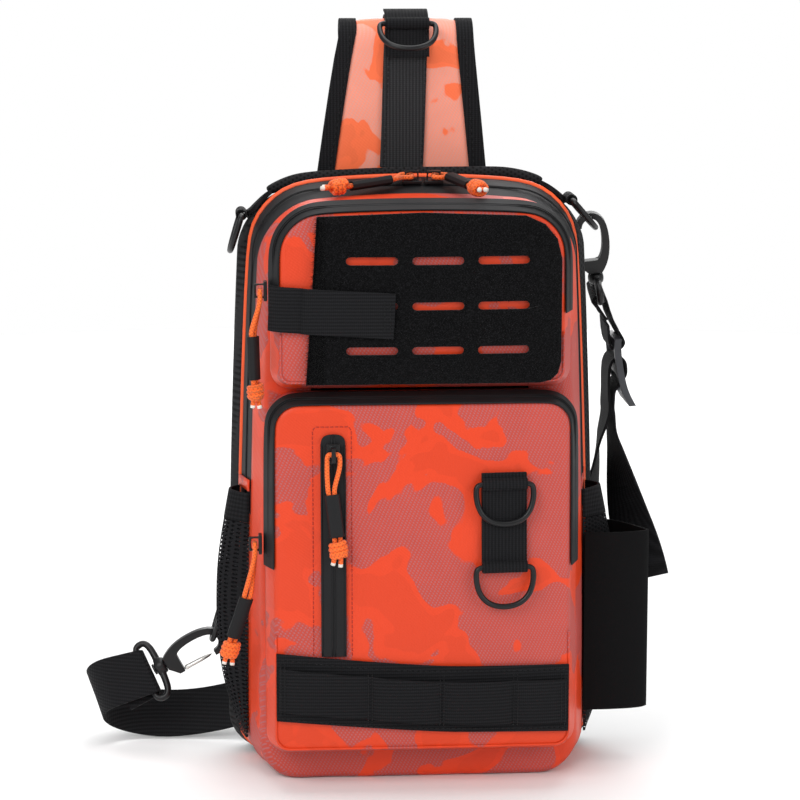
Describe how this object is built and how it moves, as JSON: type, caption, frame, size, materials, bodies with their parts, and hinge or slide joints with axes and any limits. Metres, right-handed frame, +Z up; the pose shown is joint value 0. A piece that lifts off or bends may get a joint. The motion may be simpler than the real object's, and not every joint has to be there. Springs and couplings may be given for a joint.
{
  "type": "crossbody sling bag",
  "caption": "Upright crossbody sling bag of coated fabric with stacked front pockets, mesh side pockets, a padded folded shoulder strap, webbing, D rings and snap hooks.",
  "frame": {"origin": "centre of the flat base that the bag stands on, below the middle of the side band", "axes": "+Z up, the front pockets face -Y, +X to the right when seen from the front"},
  "size_m": [0.3477, 0.1504, 0.4327],
  "materials": {
    "coated_orange": "coated, matte, with a tonal camouflage pattern",
    "bright_orange": "braided cord and corded piping",
    "zip_black": "matte coated zip tape",
    "webbing_black": "ribbed woven webbing",
    "mesh_black": "open mesh",
    "loop_black": "short fuzzy loop pile",
    "hardware_black": "satin moulded plastic",
    "steel": "plain",
    "buckle_grey": "satin moulded plastic"
  },
  "bodies": {
    "bag": {"back_panel": "mesh_black", "band_webbing": "webbing_black", "base_gusset": "coated_orange", "carry_handle": "mesh_black", "centre_zip": "zip_black", "cord_centre": "bright_orange", "cord_left_lower": "bright_orange", "cord_left_upper": "bright_orange", "cord_top_left": "bright_orange", "cord_top_right": "bright_orange", "elastic_left": "webbing_black", "elastic_right": "webbing_black", "front_shell": "coated_orange", "hook_left_body": "hardware_black", "hook_left_ring": "hardware_black", "hook_right_body": "hardware_black", "hook_right_ring": "hardware_black", "ladder_lock": "buckle_grey", "loop_panel": "loop_black", "lower_pocket": "coated_orange", "lower_pocket_zip": "zip_black", "mesh_pocket_left": "mesh_black", "mesh_pocket_right": "mesh_black", "panel_tab": "webbing_black", "rear_piping": "bright_orange", "ring_left_lower": "hardware_black", "ring_right_upper": "hardware_black", "ring_tab_left_lower": "webbing_black", "ring_tab_left_upper": "webbing_black", "ring_tab_right_upper": "webbing_black", "ring_webbing": "webbing_black", "shoulder_strap": "coated_orange", "side_loop": "webbing_black", "sleeve_centre": "zip_black", "sleeve_left_lower": "zip_black", "sleeve_left_upper": "zip_black", "sleeve_top_left": "zip_black", "sleeve_top_right": "zip_black", "slider_centre": "hardware_black", "slider_left_lower": "hardware_black", "slider_left_upper": "hardware_black", "slider_top_left": "hardware_black", "slider_top_right": "hardware_black", "strap_binding": "webbing_black", "strap_ring": "hardware_black", "strap_ring_tab": "webbing_black", "strap_webbing": "webbing_black", "upper_pocket": "coated_orange", "upper_pocket_zip": "zip_black", "webbing_hook_right": "webbing_black", "webbing_left": "webbing_black", "webbing_right": "webbing_black", "wide_band": "webbing_black", "zip_gusset": "zip_black"},
    "ring_front_upper": {"ring_front_upper": "hardware_black"},
    "ring_front_lower": {"ring_front_lower": "hardware_black"},
    "ring_left_upper": {"ring_left_upper": "hardware_black"},
    "gate_left": {"hook_left_gate": "steel"},
    "gate_right": {"hook_right_gate": "steel"}
  },
  "joints": [
    {"name": "ring_front_upper_swing", "type": "hinge", "parent": "bag", "child": "ring_front_upper", "pos_m": [0.04455, -0.06705, 0.17715], "axis": [-0.9971, -0.0761, 0], "range_deg": [0, 140]},
    {"name": "ring_front_lower_swing", "type": "hinge", "parent": "bag", "child": "ring_front_lower", "pos_m": [0.04469, -0.06897, 0.13062], "axis": [-0.9971, -0.0761, 0], "range_deg": [0, 140]},
    {"name": "ring_left_upper_swing", "type": "hinge", "parent": "bag", "child": "ring_left_upper", "pos_m": [-0.09791, 0.03, 0.3175], "axis": [0, 1, 0], "range_deg": [0, 140]},
    {"name": "gate_left_hinge", "type": "hinge", "parent": "bag", "child": "gate_left", "pos_m": [-0.13238, 0.03, 0.04965], "axis": [0, -1, 0], "range_deg": [0, 24], "stiffness_Nm_per_rad": 0.01, "springref_deg": -22.92},
    {"name": "gate_right_hinge", "type": "hinge", "parent": "bag", "child": "gate_right", "pos_m": [0.09991, 0.04066, 0.2887], "axis": [0, 0.9749, 0.2227], "range_deg": [0, 24], "stiffness_Nm_per_rad": 0.01, "springref_deg": -22.92}
  ]
}
